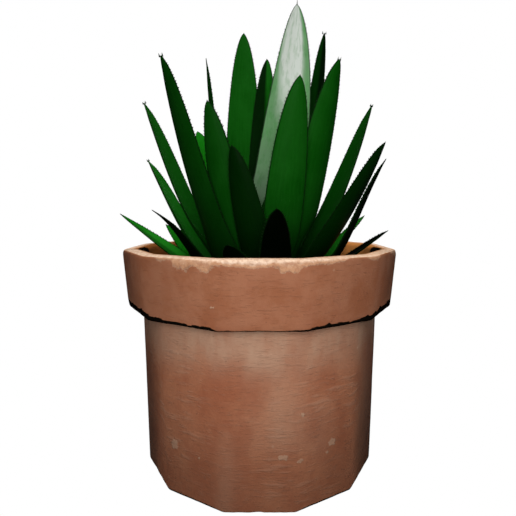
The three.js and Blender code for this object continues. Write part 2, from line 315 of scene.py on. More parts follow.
def add_flakes(tree, place, colour):
    """Pale spots where the skin of the clay has flaked: small ones anywhere, and the flake mask
    with a ragged edge. Returns the colour and the spots."""
    small = tree.use("specks", Place=place, Scale=150.0, Radius=0.14, Share=0.14)
    ragged = tree.times(tree.less(tree.noise(place, 620.0), 0.5), 1.1)
    large = tree.ramp(tree.plus(tree.attribute("flake"), ragged), 0.45, 0.60)
    flakes = tree.math("MAXIMUM", tree.times(small[0], 0.45), large)
    return tree.mix(tree.times(flakes, 0.6), colour, FLAKE_PALE), flakes


def add_rim_and_painted_light(tree, colour, glow, blotch):
    """The warmer clay of the rim's top and of the inside, with painted light: a darker, shaded copy at
    half strength and a painted lighter copy at full.
    """
    warm = tree.mix(tree.ramp(glow, 0.5, 1.0), RIM_WARM_SHADED, RIM_WARM_LIT)
    warm = tree.mix(tree.times(blotch, 0.25), warm, RIM_BLOTCH)
    return tree.mix(tree.ramp(glow, 0.0, 0.5, 0.0, 0.95), colour, warm)


def add_scrapes(tree, place, colour, rubbed):
    """Places scraped down to bare chalky clay, with a crumbled line round them."""
    pale = tree.mix(tree.ramp(rubbed, 0.45, 0.95), RUBBED_CLAY, BARE_CLAY)
    patchy = tree.ramp(tree.noise(place, 520.0, 3.0, 0.6), 0.40, 0.56, 0.62, 1.0)
    colour = tree.mix(tree.times(tree.ramp(rubbed, 0.30, 0.36, 0.0, 0.84), patchy), colour, pale)
    crumb = tree.times(tree.ramp(rubbed, 0.24, 0.31), tree.ramp(rubbed, 0.31, 0.37, 1.0, 0.0))
    return tree.mix(tree.times(crumb, 0.55), colour, CRUMBLED_EDGE)


def make_terracotta():
    """Fired clay: uneven red and orange, lime bloom, wheel marks, pale flakes and scraped edges.

    The masks for lime bloom with painted light from above, scrapes, flakes, black painted shadow,
    painted shade, and the rim's warm clay with painted light are attributes of the pot's mesh. Scrape
    goes on from a faint rub to bare, chalky clay.
    """
    material, tree, shader = new_material("terracotta")
    place = tree.place()
    level = tree.add("ShaderNodeSeparateXYZ", {"Vector": place}).outputs["Z"]
    collar = tree.ramp(level, *COLLAR_START)
    glow = tree.attribute("glow")
    torn = tree.times(tree.less(tree.noise(place, 420.0, 6.0, 0.8), 0.5), 0.95)
    rubbed = tree.plus(tree.attribute("scrape"), torn)
    grime = tree.ramp(tree.plus(tree.attribute("grime"), torn), 0.40, 0.55)
    colour, blotch, fine = clean_clay(tree, place, collar)
    colour = add_bloom_and_top_light(tree, place, colour)
    colour, marks = add_wheel_marks(tree, place, colour, collar)
    colour, flakes = add_flakes(tree, place, colour)
    # The rim's warm clay, painted lighter towards the right as if more lit there
    colour = add_rim_and_painted_light(tree, colour, glow, blotch)
    colour = add_scrapes(tree, place, colour, rubbed)
    pits = tree.use("specks", Place=place, Scale=330.0, Radius=0.12, Share=0.14)
    colour = tree.mix(tree.times(pits[0], 0.35), colour, PIT_DARK)
    # Painted shade: darker inside the mouth, down the body's sides and towards its foot
    colour = tree.mix(tree.attribute("damp"), colour, SHADE_DARK)
    # Black painted shadow over the colour: under the collar, along the foot's edge and in the mouth's
    # corners
    tree.put(shader.inputs["Base Color"], tree.mix(grime, colour, SHADOW_BLACK))
    tree.put(shader.inputs["Roughness"], tree.plus(tree.times(fine, 0.25), 0.66))
    dull = tree.math("MAXIMUM", grime, tree.ramp(glow, 0.0, 0.4))
    tree.put(shader.inputs["Specular IOR Level"], tree.ramp(dull, 0.0, 1.0, 0.20, 0.0))
    height = tree.plus(tree.times(fine, 0.6), marks)
    height = tree.plus(height, tree.times(flakes, 0.5))
    height = tree.less(height, tree.ramp(rubbed, 0.28, 0.38, 0.0, 0.6))
    height = tree.less(height, tree.times(pits[0], 0.8))
    tree.put(shader.inputs["Normal"], bump(tree, height, 0.6, 0.0006))
    return material


COMPOST_BLACK = (0.012, 0.008, 0.005, 1.0)
COMPOST_BROWN = (0.045, 0.026, 0.015, 1.0)
GRIT = (0.26, 0.22, 0.17, 1.0)


def make_soil_material():
    """Potting compost: near-black crumbs with brown fibre and a little pale grit."""
    material, tree, shader = new_material("potting_compost")
    place = tree.place()
    crumbs = tree.use("uneven_tone", Place=place, First=COMPOST_BLACK, Second=COMPOST_BROWN, Broad=160.0,
                      Fine=900.0, Depth=1.1)
    grit = tree.use("specks", Place=place, Scale=240.0, Radius=0.22, Share=0.10)
    tree.put(shader.inputs["Base Color"], tree.mix(grit[0], crumbs["Colour"], GRIT))
    tree.put(shader.inputs["Roughness"], tree.plus(tree.times(grit[0], -0.2), 0.95))
    shader.inputs["Specular IOR Level"].default_value = 0.2
    tree.put(shader.inputs["Normal"], bump(tree, crumbs["Fine"], 0.8, 0.0012))
    return material


FLESH_DARK = (0.045, 0.085, 0.022, 1.0)
FLESH_PALE = (0.14, 0.15, 0.055, 1.0)
DRY_FIBRE = (0.17, 0.115, 0.055, 1.0)


def make_crown_material():
    """The short stem: pale green flesh under dry, fibrous remains of old leaf bases."""
    material, tree, shader = new_material("leaf_base_fibre")
    place = tree.place()
    flesh = tree.use("uneven_tone", Place=place, First=FLESH_DARK, Second=FLESH_PALE, Broad=90.0,
                     Fine=700.0, Depth=0.6)
    fibre = tree.use("grain", Place=place, Stretch=(1.0, 1.0, 0.12), Scale=620.0, Low=0.45, High=0.65)
    colour = tree.mix(tree.times(fibre[0], 0.7), flesh["Colour"], DRY_FIBRE)
    tree.put(shader.inputs["Base Color"], colour)
    tree.put(shader.inputs["Roughness"], tree.ramp(fibre[0], 0.0, 1.0, 0.6, 0.9))
    tree.put(shader.inputs["Normal"], bump(tree, fibre[0], 0.5, 0.0006))
    return material


LEAF_GREEN = (0.0030, 0.080, 0.0022, 1.0)
LEAF_BRIGHT = (0.0060, 0.098, 0.0050, 1.0)
VEIN_GREEN = (0.010, 0.135, 0.009, 1.0)
SPECK_GREEN = (0.05, 0.22, 0.045, 1.0)
# Painted highlight, laid on as a pale film
SHEEN_WHITE = (0.70, 0.735, 0.685, 1.0)
MARGIN_DARK = (0.0012, 0.012, 0.0010, 1.0)
HORN_DARK = (0.004, 0.012, 0.003, 1.0)
SHEET_LENGTH = 0.16              # a leaf's veins are drawn on a sheet of this size, in metres
SHEET_HALF_WIDTH = 0.012


def make_leaf_material():
    """Waxy leaf: deep green, darker at the foot, fine long veins, specks, and dark horny teeth.

    along runs from 0 at the foot to 1 at the tip, across from -1 to 1 between the margins, margin
    is the distance from the nearer margin in millimetres, horn is 1 on teeth and tip spine, the tone
    is the leaf's own depth of colour together with painted light and shade, and the film's strength
    is that of its pale film, which paints a highlight.
    """
    material, tree, shader = new_material("aloe_leaf")
    place = tree.place()
    along = tree.attribute("along")
    breadth = tree.times(tree.attribute("across"), SHEET_HALF_WIDTH)
    length = tree.times(along, SHEET_LENGTH)
    sheet = tree.add("ShaderNodeCombineXYZ", {"X": breadth, "Y": length}).outputs[0]
    flesh = tree.use("uneven_tone", Place=place, First=LEAF_GREEN, Second=LEAF_BRIGHT, Broad=40.0,
                     Fine=520.0, Depth=0.3)
    veins = tree.use("grain", Place=sheet, Stretch=(1.0, 0.045, 1.0), Scale=900.0, Low=0.38, High=0.68)
    colour = tree.mix(tree.times(veins[0], 0.25), flesh["Colour"], VEIN_GREEN)
    specks = tree.use("specks", Place=place, Scale=420.0, Radius=0.2, Share=0.22)
    colour = tree.mix(tree.times(specks[0], 0.12), colour, SPECK_GREEN)
    # The leaf's depth of colour, darker at the foot, with its painted light and shade
    depth = tree.times(tree.ramp(along, 0.0, 0.6, 0.30, 1.0), tree.attribute("tone"))
    shade = tree.add("ShaderNodeCombineColor", {"Red": depth, "Green": depth, "Blue": depth})
    colour = tree.mix(1.0, colour, shade.outputs[0], "MULTIPLY")
    streaks = tree.use("grain", Place=sheet, Stretch=(0.5, 0.16, 1.0), Scale=700.0, Low=0.30, High=0.60)
    # A pale film painted over the colour as a highlight, which also brings a coat of gloss
    sheen_film = tree.times(tree.attribute("wax"), tree.ramp(streaks[0], 0.0, 1.0, 0.72, 1.0))
    colour = tree.mix(sheen_film, colour, SHEEN_WHITE)
    rim = tree.ramp(tree.attribute("margin"), 0.15, 0.75, 0.85, 0.0)
    colour = tree.mix(rim, colour, MARGIN_DARK)
    colour = tree.mix(tree.attribute("horn"), colour, HORN_DARK)
    tree.put(shader.inputs["Base Color"], colour)
    rough = tree.ramp(tree.noise(place, 60.0, 4.0), 0.3, 0.7, 0.42, 0.55)
    tree.put(shader.inputs["Roughness"], rough)
    shader.inputs["Specular IOR Level"].default_value = 0.015
    tree.put(shader.inputs["Coat Weight"], tree.times(sheen_film, 0.6))
    shader.inputs["Coat Roughness"].default_value = 0.35
    height = tree.plus(tree.times(veins[0], 0.6), tree.times(specks[0], 0.3))
    tree.put(shader.inputs["Normal"], bump(tree, height, 0.12, 0.0003))
    return material


# ---- working tools for surfaces -----------------------------------------------------------

def mix(first, second, share):
    return first + (second - first) * share


def smooth(value, low, high):
    """0 below low, 1 above high, and a smooth step between them."""
    share = np.clip((value - low) / (high - low), 0.0, 1.0)
    return share * share * (3.0 - 2.0 * share)


def bell(distance, reach):
    """A bell curve, exp(-(distance / reach)^2)."""
    return np.exp(-((distance / reach) ** 2))


def field(points, cell, seed):
    """A smooth random field from -1 to 1: a random value at each corner of a cubic lattice with
    this cell size, mixed inside the cell by smooth steps along the three axes."""
    scaled = np.asarray(points, dtype=float) / cell
    corner = np.floor(scaled).astype(np.int64)
    share = scaled - corner
    share = share * share * (3.0 - 2.0 * share)
    total = np.zeros(scaled.shape[:-1])
    for bits in range(8):
        step = np.array([bits & 1, bits >> 1 & 1, bits >> 2 & 1])
        at = corner + step
        key = at[..., 0] * 73856093 ^ at[..., 1] * 19349663 ^ at[..., 2] * 83492791 ^ seed * 2654435761
        key = (key ^ key >> 13) * 1274126177 & 0xFFFFFFFF
        key = (key ^ key >> 16) * 2246822519 & 0xFFFFFFFF
        weight = np.prod(np.where(step == 1, share, 1.0 - share), axis=-1)
        total += weight * (key / 2147483648.0 - 1.0)
    return total


def layered(points, cell, seed, layers=3):
    """The sum of that field at several sizes, each half the size and half the height of the last."""
    total = 0.0
    for layer in range(layers):
        total = total + field(points, cell / 2 ** layer, seed + layer) / 2 ** layer
    return total


def azimuth_gap(first, second):
    """The signed turn in degrees from second to first, the short way round."""
    return (first - second + 180.0) % 360.0 - 180.0


def grid_faces(rows, columns, wrap_rows=False):
    """Quads of a grid whose columns close on themselves, and whose rows may too."""
    low = np.arange(rows if wrap_rows else rows - 1)[:, None]
    high = (low + 1) % rows
    left = np.arange(columns)[None, :]
    right = (left + 1) % columns
    quads = np.stack([low * columns + left, low * columns + right,
                      high * columns + right, high * columns + left], axis=-1)
    return quads.reshape(-1, 4)


def fan_faces(pole, ring, flip=False):
    """Triangles from one point to a closed ring of points."""
    after = np.roll(ring, -1)
    ends = (after, ring) if flip else (ring, after)
    return np.stack([np.full(len(ring), pole), *ends], axis=-1)


def build(name, points, faces, material, attributes=None, normals=None):
    """A mesh object from points in millimetres and face lists, with float attributes per point."""
    mesh = bpy.data.meshes.new(name)
    corners = np.concatenate([np.ravel(part) for part in faces]).astype(np.int32)
    sizes = np.concatenate([np.full(len(part), part.shape[1]) for part in faces])
    starts = np.concatenate([[0], np.cumsum(sizes)[:-1]]).astype(np.int32)
    mesh.vertices.add(len(points))
    mesh.vertices.foreach_set("co", np.ravel(np.asarray(points) * MM).astype(np.float32))
    mesh.loops.add(len(corners))
    mesh.loops.foreach_set("vertex_index", corners)
    mesh.polygons.add(len(sizes))
    mesh.polygons.foreach_set("loop_start", starts)
    mesh.update(calc_edges=True)
    mesh.validate()
    mesh.polygons.foreach_set("use_smooth", np.ones(len(sizes), dtype=bool))
    for key, values in (attributes or {}).items():
        layer = mesh.attributes.new(key, "FLOAT", "POINT")
        layer.data.foreach_set("value", np.ravel(values).astype(np.float32))
    if normals is not None:
        mesh.normals_split_custom_set_from_vertices(np.reshape(normals, (-1, 3)).tolist())
    mesh.materials.append(material)
    piece = bpy.data.objects.new(name, mesh)
    bpy.context.scene.collection.objects.link(piece)
    return piece


def finish_piece(piece, node):
    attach(piece, "root")
    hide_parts(node)


# ---- pot ----------------------------------------------------------------------------------

SIDES = 12
ARRIS_POWER = 200.0              # higher makes the pot's corners sharper
ROUNDED_LOOK = 0.9               # how far the shading runs on round the pot over its corners
# Corner radius, height, roundness of the section (0 twelve-sided, 1 round) and the length of the
# steps on the way to that point.
POT_PROFILE = [
    (9.0, 0.0, 1.0, 2.5),
    (66.4, 0.0, 0.0, 5.0),
    (67.0, 0.6, 0.0, 0.5),
    (68.2, 91.4, 0.0, 0.95),
    (75.9, 91.7, 0.0, 0.8),
    (76.3, 93.0, 0.0, 0.6),
    (78.6, 122.4, 0.0, 0.9),
    (78.0, 123.6, 0.0, 0.5),
    (76.6, 124.2, 0.0, 0.5),
    (71.7, 124.2, 0.0, 0.8),
    (69.5, 122.0, 0.0, 0.6),
    (63.0, 96.0, 0.0, 1.1),
    (61.0, 89.0, 0.0, 3.5),
    (56.0, 10.0, 0.0, 8.0),
    (9.0, 10.0, 1.0, 6.0),
]
POT_COLUMNS = 360
# The pot's worn edges: a spot of the profile and how far the wear reaches from it.
LIP = ((78.0, 123.5), 3.0)
LIP_INSIDE = ((70.3, 123.5), 2.5)
COLLAR_EDGE = ((76.4, 92.6), 2.4)
FOOT_EDGE = ((66.8, 0.4), 2.6)
OUTER_WALL = (64.0, 66.0)        # radius that parts the inside from the outside of the wall
COLLAR_LEVEL = (92.0, 96.0)      # the collar's face starts at this level and this radius
COLLAR_RADIUS = (69.5, 74.5)
BODY_TOP = (92.3, 90.0)
TOP_LIGHT_LEVEL = (60.0, 87.0)       # lime, with painted light from above, grows whole up to the collar over these levels
BAND_BLOOM = 0.32
BAND_EDGE = 8.0
MOUTH_CORNER = 82.0              # turn from the front of the two corners inside the mouth that are painted black as shadow
# Heights and depths of the hand-made pot's unevenness and wear
WAVE_HEIGHT = 0.048
RIPPLE_HEIGHT = 0.056
DENT_DEPTH = 0.35
WEAR_DEPTH = 0.12
CHIP_DEPTH = 0.25
SCRAPE_DEPTH = 0.35
COLLAR_RAGGEDNESS = 0.16         # the collar's lower edge runs up and down by this
# Scraped places under the lip: turn from the front, half width in degrees, depth, and how bare.
SCRAPES = [
    (-34.0, 5.0, 2.0, 0.5), (-27.5, 4.5, 6.6, 0.6), (-22.0, 5.0, 3.6, 0.62), (-17.5, 4.5, 6.4, 0.64),
    (-7.0, 7.0, 3.4, 1.0), (-1.5, 5.0, 4.6, 0.95), (5.0, 6.0, 2.4, 0.95), (10.0, 4.6, 6.2, 0.72),
    (15.0, 5.0, 3.0, 0.8), (23.0, 10.0, 2.2, 0.8), (45.0, 5.0, 2.6, 0.5), (74.0, 9.0, 4.0, 0.7),
    (108.0, 12.0, 4.4, 0.9), (150.0, 8.0, 6.5, 0.75), (171.0, 14.0, 3.6, 0.9), (-158.0, 6.0, 5.5, 0.7),
    (-122.0, 12.0, 3.0, 0.85), (-80.0, 7.0, 4.2, 0.6),
]
# Lime bands on the body: turn from the front, half width in degrees, lowest and highest level.
LIME_BANDS = [
    (-14.5, 4.5, -9.0, 40.0), (10.0, 13.0, 32.0, 80.0), (27.0, 6.0, 26.0, 54.0),
    (62.0, 11.0, 10.0, 70.0), (100.0, 9.0, 0.0, 50.0), (140.0, 13.0, 35.0, 90.0), (-170.0, 9.0, 5.0, 65.0),
    (-130.0, 10.0, 20.0, 85.0), (-84.0, 12.0, 0.0, 46.0),
]
# Pale flakes: turn from the front, level, half width and half height.
FLAKES = [
    (-40.5, 27.0, 2.5, 3.4), (10.0, 28.5, 3.0, 1.7), (16.8, 26.0, 2.2, 1.5), (33.6, 30.5, 2.8, 2.4),
    (31.0, 26.0, 1.3, 1.0), (17.7, 49.0, 1.2, 1.6), (-27.0, 24.0, 1.0, 0.9), (-15.5, 103.0, 1.2, 0.8),
    (80.0, 52.0, 2.4, 1.6), (122.0, 24.0, 2.8, 1.9), (165.0, 61.0, 1.9, 2.6), (-140.0, 38.0, 2.9, 1.7),
    (-96.0, 70.0, 1.8, 1.5), (-172.0, 22.0, 2.2, 1.4), (48.0, 76.0, 1.5, 1.1),
]


def section_radius(azimuth, radius, roundness):
    """Distance from the axis to a twelve-sided section with this corner radius. A flat stands at
    inradius / cos(angle from its middle); the flats are joined by a power sum, which rounds the
    arrises. Roundness mixes that with the circle inside the flats."""
    inradius = radius * math.cos(math.pi / SIDES)
    middles = np.arange(SIDES) * 360.0 / SIDES
    reach = np.maximum(np.cos(np.radians(azimuth[..., None] - middles)), 0.0)
    sided = inradius / np.sum(reach ** ARRIS_POWER, axis=-1) ** (1.0 / ARRIS_POWER)
    return mix(sided, inradius, roundness)


def stepped(profile, closed):
    """The profile cut into short steps, each stretch at its own step length."""
    corners = np.array(profile)
    ends = list(zip(corners[:-1], corners[1:]))
    if closed:
        ends.append((corners[-1], corners[0]))
    parts = []
    for start, end in ends:
        count = max(1, round(float(np.hypot(*(end[:2] - start[:2]))) / end[3]))
        parts.append(start + (end - start) * (np.arange(count) / count)[:, None])
    return np.concatenate(parts)


def near(profile, spot, reach):
    """1 at a spot of the profile, falling to 0 as a bell curve of the distance over this reach."""
    return bell(np.hypot(profile[:, 0] - spot[0], profile[:, 1] - spot[1]), reach)[:, None]


def pot_profile():
    """The profile in short steps. Its edges are softened: each point is averaged with its two
    neighbours, which count half as much."""
    profile = stepped(POT_PROFILE, True)
    return (np.roll(profile, 1, axis=0) + 2.0 * profile + np.roll(profile, -1, axis=0)) / 4.0


def profile_outward(profile):
    """The outward direction square to the profile, as its part away from the axis and its part up."""
    run = np.roll(profile[:, :2], -1, axis=0) - np.roll(profile[:, :2], 1, axis=0)
    run /= np.linalg.norm(run, axis=1)[:, None]
    return run[:, 1][:, None], -run[:, 0][:, None]


def scraped_places(points, profile, turn, lip, on_collar):
    """The scrape mask. Each place is an arch from the lip down to its depth, torn by a random
    field, and bare to its own degree. The lip is rubbed all round, most of all in front."""
    below_lip = np.maximum(LIP[0][1] - profile[:, 1][:, None], 0.0)
    scrape = np.zeros(points.shape[:2])
    for centre, half, depth, bare in SCRAPES:
        span = np.clip(1.0 - (azimuth_gap(turn, centre) / half) ** 2, 0.0, 1.0)
        jagged = depth * np.sqrt(span) * (1.0 + 0.55 * field(points, 3.2, 21)) + 0.01
        patch = np.clip(1.0 - below_lip / jagged, 0.0, 1.0) ** 0.5
        scrape = np.maximum(scrape, bare * patch * on_collar)
    lip_rub = 0.04 + 0.62 * bell(azimuth_gap(turn, -2.0), 30.0)
    return np.maximum(scrape, lip_rub * lip * (1.0 + 0.7 * field(points, 14.0, 16)))


def bloom_and_top_light_mask(level, turn, on_body, on_collar):
    """Lime bloom and painted light from above: whole under the collar, thinning downwards, with upright
    bands of lime below it.
    """
    bloom = on_body * 0.95 * smooth(level, *TOP_LIGHT_LEVEL) + 0.05 * on_collar
    for centre, half, low, high in LIME_BANDS:
        height = smooth(level, low - BAND_EDGE, low + BAND_EDGE)
        height = height * smooth(level, high + BAND_EDGE, high - BAND_EDGE)
        bloom = bloom + BAND_BLOOM * on_body * bell(azimuth_gap(turn, centre), half) * height
    return np.clip(bloom, 0.0, 1.0)


def flake_mask(level, turn, reach, outside):
    """The flakes, each the product of a bell curve sideways and one in height."""
    flake = np.zeros(reach.shape)
    for centre, height, wide, tall in FLAKES:
        sideways = np.radians(azimuth_gap(turn, centre)) * reach
        flake = np.maximum(flake, outside * bell(sideways, wide) * bell(level - height, tall))
    return flake


def painted_shadow_mask(points, level, turn, outside, within, foot):
    """Black painted shadow: under the collar up to an uneven line that rises to both sides, along the
    foot's edge at the sides, and in two corners of the mouth."""
    away = np.abs(turn)
    line = 92.2 + 1.2 * smooth(away, 8.0, 26.0) + 1.9 * smooth(away, 36.0, 52.0)
    line = line + layered(points, 4.5, 19) * smooth(away, 4.0, 24.0)
    grime = smooth(level, line + 0.4, line - 0.3) * smooth(level, 90.4, 91.3) * outside
    grime = np.maximum(grime, foot * smooth(level, 1.7, 0.9) * smooth(away, 14.0, 22.0))
    corner = within * bell(away - MOUTH_CORNER, 11.0) * smooth(level, 124.1, 123.0)
    return np.maximum(grime, corner)


def painted_shade_mask(level, turn, within, on_body):
    """Painted shade: dark clay inside the mouth and most at its corners, down both sides of the body
    where it curves away, and faintly over the body's foot."""
    damp = within * (0.2 * smooth(level, 124.0, 121.5) + 0.5 * smooth(level, 121.0, 110.0))
    corner = bell(np.abs(turn) - MOUTH_CORNER, 22.0) * smooth(level, 124.0, 121.0)
    damp = np.maximum(damp, within * 0.85 * corner)
    side = smooth(np.abs(turn + 4.0), 38.0, 64.0) * smooth(np.abs(turn), 112.0, 84.0)
    damp = np.maximum(damp, on_body * side * mix(0.74, 0.24, smooth(level, 12.0, 84.0)))
    return np.maximum(damp, on_body * 0.42 * smooth(level, 66.0, 4.0))


def make_pot(material):
    """The profile's points carried round the twelve-sided section. Random fields then move the
    surface a little along its outward direction: waves and dents on the outside, wear and chips
    at the four edges, and scraped places."""
    profile = pot_profile()
    azimuth = np.arange(POT_COLUMNS) * 360.0 / POT_COLUMNS
    radius, level, roundness = (column[:, None] for column in profile[:, :3].T)
    reach = section_radius(azimuth[None, :], radius, roundness)
    around = np.radians(azimuth)
    heading = np.stack([np.cos(around), np.sin(around)], axis=-1)
    points = np.empty((len(profile), POT_COLUMNS, 3))
    points[..., :2] = reach[..., None] * heading
    points[..., 2] = level
    turn = azimuth_gap(azimuth, FRONT)[None, :]
    out_radial, out_level = profile_outward(profile)
    lip, mouth, collar, foot = (near(profile, *edge) for edge in (LIP, LIP_INSIDE, COLLAR_EDGE, FOOT_EDGE))
    edges = np.maximum.reduce([lip, mouth, collar, foot])
    outside = smooth(radius, *OUTER_WALL)
    within = smooth(-out_radial, 0.2, 0.8)
    on_collar = smooth(level, *COLLAR_LEVEL) * smooth(radius, *COLLAR_RADIUS)
    on_body = smooth(level, *BODY_TOP) * outside
    on_top = np.maximum(smooth(level, 122.8, 123.8), within * smooth(level, 102.0, 114.0))

    wave = WAVE_HEIGHT * field(points, 34.0, 11) + RIPPLE_HEIGHT * layered(points, 12.0, 12)
    chips = smooth(layered(points, 9.0, 13), 0.45, 1.2)
    worn = WEAR_DEPTH * np.abs(field(points, 5.0, 14)) + CHIP_DEPTH * chips
    dents = smooth(layered(points, 15.0, 15), 0.75, 1.3)
    scrape = scraped_places(points, profile, turn, lip, on_collar)
    push = wave * outside - edges * worn - DENT_DEPTH * dents * outside
    push = push - SCRAPE_DEPTH * smooth(scrape, 0.25, 0.6)
    points[..., :2] += (push * out_radial)[..., None] * heading
    points[..., 2] += push * out_level
    upright = points * (1.0, 1.0, 0.3)
    ragged = field(upright, 4.5, 17) + 0.7 * field(upright, 12.0, 18)
    points[..., 2] += collar * COLLAR_RAGGEDNESS * ragged

    masks = {"scrape": scrape,
             "bloom": bloom_and_top_light_mask(level, turn, on_body, on_collar),
             "flake": flake_mask(level, turn, reach, outside),
             "grime": painted_shadow_mask(points, level, turn, outside, within, foot),
             "damp": painted_shade_mask(level, turn, within, on_body),
             # The rim's top and the inside in warmer clay, with painted light: half strength on the left,
             # full and lighter towards the right
             "glow": on_top * smooth(radius, 62.0, 64.0) * mix(0.5, 1.0, smooth(turn, -10.0, 70.0))}
    attributes = {key: np.broadcast_to(mask, reach.shape) for key, mask in masks.items()}
    normals = round_normals(points, azimuth, profile[:, 2])
    faces = [grid_faces(len(profile), POT_COLUMNS, True)]
    pot = build("clay_pot", points.reshape(-1, 3), faces, material, attributes, normals)
    finish_piece(pot, "pot")


def round_normals(points, azimuth, roundness):
    """Normals of the pot's grid, turned about the axis so that they run on round the pot: a flat
    looks one way all over, and here most of its turn from the true azimuth is taken away."""
    along = np.roll(points, -1, axis=0) - np.roll(points, 1, axis=0)
    round_it = np.roll(points, -1, axis=1) - np.roll(points, 1, axis=1)
    normal = np.cross(round_it, along)
    normal /= np.linalg.norm(normal, axis=-1)[..., None]
    plain = section_radius(azimuth, 1.0, 0.0)
    ring = np.stack([plain * np.cos(np.radians(azimuth)), plain * np.sin(np.radians(azimuth))], axis=-1)
    run = np.roll(ring, -1, axis=0) - np.roll(ring, 1, axis=0)
    looks = np.degrees(np.arctan2(-run[:, 0], run[:, 1]))
    turn = np.radians(azimuth_gap(azimuth, looks)) * ROUNDED_LOOK
    turn = turn[None, :] * (1.0 - roundness[:, None])
    cosine = np.cos(turn)
    sine = np.sin(turn)
    turned = normal.copy()
    turned[..., 0] = normal[..., 0] * cosine - normal[..., 1] * sine
    turned[..., 1] = normal[..., 0] * sine + normal[..., 1] * cosine
    return turned


# ---- soil and crown -----------------------------------------------------------------------

# Corner radius, height, roundness and step, from the middle underneath to the middle on top.
SOIL_PROFILE = [
    (0.0, 15.3, 1.0, 4.0),
    (9.0, 15.3, 1.0, 4.5),
    (14.0, 10.3, 1.0, 3.5),
    (55.7, 10.3, 0.0, 14.0),
    (60.7, 89.0, 0.0, 20.0),
    (62.9, 97.0, 0.0, 2.0),
    (61.5, 98.4, 0.0, 1.0),
    (30.0, 96.5, 0.5, 0.9),
    (0.0, 95.5, 1.0, 3.0),
]
SOIL_COLUMNS = 300
CRUMB_COUNT = 900
CRUMBS_FROM = 24.0               # loose crumbs lie between these radii
CRUMBS_TO = 59.0
CRUMB_LEVEL = 97.3
CRUMB_CORNERS = 8
SOIL_HEAPS = 1.1                 # height of the soil's unevenness, and of its finest part
SOIL_GRAIN = 0.6
CROWN_PROFILE = [
    (0.0, 58.0, 1.0, 4.0),
    (7.0, 58.0, 1.0, 4.0),
    (14.0, 65.0, 1.0, 4.0),
    (14.0, 76.0, 1.0, 4.0),
    (30.0, 90.0, 1.0, 4.0),
    (30.0, 98.5, 1.0, 0.9),
    (0.0, 112.0, 1.0, 0.9),
]
CROWN_COLUMNS = 180
SCAR_HEIGHT = 0.45               # height of the ridges that old leaves left on the crown
SCAR_SPREAD = 0.012              # and how far they stand out, as a share of the radius
RING_RADIUS = (27.0, 21.5, 16.0, 10.5, 4.5)
CONE_APEX = 112.0                # level of the crown's top
CONE_SLOPE = 0.45                # drop of the crown's cone per millimetre of radius


def turned_grid(profile, columns):
    """Rings of points from a stepped profile whose two ends lie on the axis, as (rings, poles)."""
    steps = stepped(profile, False)
    steps = np.concatenate([steps, [profile[-1]]])
    inner = steps[1:-1]
    azimuth = np.arange(columns) * 360.0 / columns
    reach = section_radius(azimuth[None, :], inner[:, 0][:, None], inner[:, 2][:, None])
    around = np.radians(azimuth)
    points = np.stack([reach * np.cos(around), reach * np.sin(around),
                       np.broadcast_to(inner[:, 1][:, None], reach.shape)], axis=-1)
    poles = np.array([[0.0, 0.0, steps[0, 1]], [0.0, 0.0, steps[-1, 1]]])
    return points, poles


def turned_faces(rows, columns):
    """Quads between the rings and a fan at each pole. The poles come after the rings."""
    first = np.arange(columns)
    last = (rows - 1) * columns + first
    return [grid_faces(rows, columns), fan_faces(rows * columns, first, True),
            fan_faces(rows * columns + 1, last)]


def pebbles(centres, sizes, pulls):
    """Small eight-cornered crumbs: a cube's corners about each centre, each pulled in by its own
    share. Returns their points and quads."""
    corner = np.array([[x, y, z] for z in (-1, 1) for y in (-1, 1) for x in (-1, 1)], dtype=float)
    quad = np.array([[0, 2, 3, 1], [4, 5, 7, 6], [0, 1, 5, 4], [2, 6, 7, 3], [0, 4, 6, 2], [1, 3, 7, 5]])
    points = centres[:, None, :] + corner[None] * sizes[:, None, None] * pulls
    faces = quad[None] + (np.arange(len(centres)) * CRUMB_CORNERS)[:, None, None]
    return points.reshape(-1, 3), faces.reshape(-1, 4)


def make_soil(material):
    """The soil's outline turned, its top raised and lowered by layered random fields, with loose
    crumbs half sunk in it, spread evenly over their ring."""
    points, poles = turned_grid(SOIL_PROFILE, SOIL_COLUMNS)
    top = smooth(points[..., 2], 93.0, 96.0)
    wall = smooth(np.hypot(points[..., 0], points[..., 1]), 62.5, 58.0)
    crumble = SOIL_HEAPS * layered(points, 9.0, 31, 4) + SOIL_GRAIN * field(points, 2.2, 35)
    points[..., 2] += top * crumble * mix(0.3, 1.0, wall)
    rng = np.random.default_rng(7)
    far = np.sqrt(rng.uniform(CRUMBS_FROM ** 2, CRUMBS_TO ** 2, CRUMB_COUNT))
    around = rng.uniform(0.0, math.tau, CRUMB_COUNT)
    height = CRUMB_LEVEL + rng.uniform(-0.6, 1.0, CRUMB_COUNT)
    centres = np.stack([far * np.cos(around), far * np.sin(around), height], axis=-1)
    sizes = rng.uniform(0.35, 1.0, CRUMB_COUNT)
    pulls = rng.uniform(0.45, 1.0, (CRUMB_COUNT, CRUMB_CORNERS, 3))
    crumbs, crumb_faces = pebbles(centres, sizes, pulls)
    rows = points.shape[0]
    faces = turned_faces(rows, SOIL_COLUMNS)
    everything = np.concatenate([points.reshape(-1, 3), poles, crumbs])
    faces.append(crumb_faces + rows * SOIL_COLUMNS + 2)
    soil = build("compost", everything, faces, material)
    finish_piece(soil, "soil")


